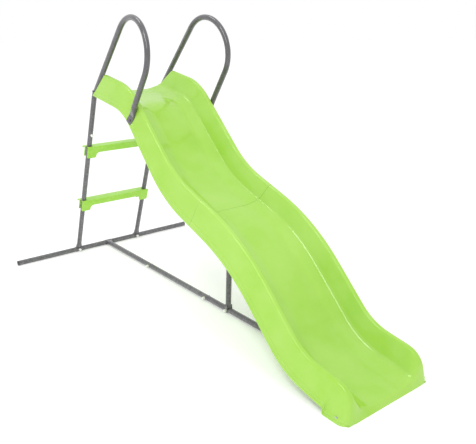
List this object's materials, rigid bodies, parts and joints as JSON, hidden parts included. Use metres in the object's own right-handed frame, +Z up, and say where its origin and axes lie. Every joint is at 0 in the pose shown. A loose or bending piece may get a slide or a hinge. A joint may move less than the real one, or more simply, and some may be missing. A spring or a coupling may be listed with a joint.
{
  "type": "wave slide",
  "caption": "Free-standing children's slide: a wavy moulded chute in two lengths, a leaning tube ladder with flat steps, looped handrails and a tube base bolted together.",
  "frame": {"origin": "on the ground under the middle of the overall box", "axes": "+X is the sliding direction, from the ladder to the run-out; +Y is across, to the slider's left; +Z is up"},
  "size_m": [2.0532, 1.062, 1.2617],
  "materials": {
    "chute_plastic": "glossy moulded polyethylene",
    "step_plastic": "moulded polyethylene with a fine anti-slip grain",
    "frame_paint": "satin grey powder coat",
    "black_plastic": "moulded",
    "white_plastic": "moulded",
    "zinc_steel": "bright zinc plate"
  },
  "bodies": {
    "root": {"upper_chute": "chute_plastic", "lower_chute": "chute_plastic", "lower_step": "step_plastic", "upper_step": "step_plastic", "left_lower_rail": "frame_paint", "right_lower_rail": "frame_paint", "left_handrail": "frame_paint", "right_handrail": "frame_paint", "left_crossbar": "frame_paint", "right_crossbar": "frame_paint", "crossbar_end_caps": "black_plastic", "ground_bar_rear": "frame_paint", "ground_bar_middle": "frame_paint", "ground_bar_front": "frame_paint", "ground_bar_insert": "black_plastic", "support_strut": "frame_paint", "frame_bolts": "zinc_steel", "frame_nuts": "zinc_steel", "nut_caps": "white_plastic", "step_screws": "zinc_steel", "handrail_bolts": "frame_paint", "handrail_nuts": "zinc_steel", "platform_bolts": "frame_paint", "platform_nuts": "zinc_steel", "seam_bolts": "zinc_steel", "seam_nuts": "zinc_steel", "run_out_bolt": "zinc_steel", "foot_screws": "zinc_steel"}
  },
  "joints": []
}
